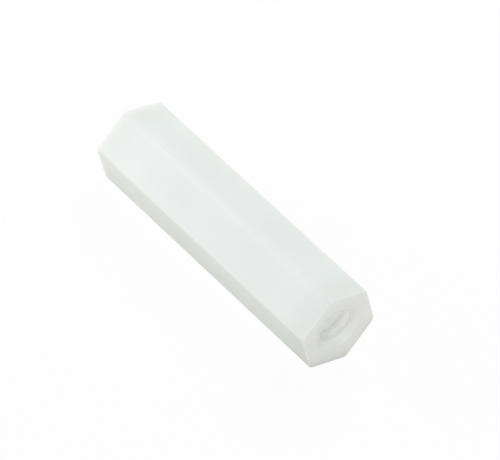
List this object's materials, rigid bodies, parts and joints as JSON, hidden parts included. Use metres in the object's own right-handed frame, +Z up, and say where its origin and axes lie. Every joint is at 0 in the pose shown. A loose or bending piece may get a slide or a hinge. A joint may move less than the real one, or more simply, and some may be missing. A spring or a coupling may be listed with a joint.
{
  "type": "hex standoff",
  "caption": "Hexagonal nylon spacer bar, tapped from both ends, that holds two boards or panels a fixed distance apart.",
  "frame": {"origin": "centre of the bounding box's underside: on the resting flat, under the middle of the bar", "axes": "+X along the bar towards the near end, +Z up and square to the top flat, +Y towards one of the two side corners"},
  "size_m": [0.0254, 0.0072, 0.0063],
  "materials": {
    "natural_nylon": "milky translucent natural nylon, satin, with faint drawing lines along the flats and fine facing rings on the ends"
  },
  "bodies": {
    "root": {"hex_standoff": "natural_nylon"}
  },
  "joints": []
}
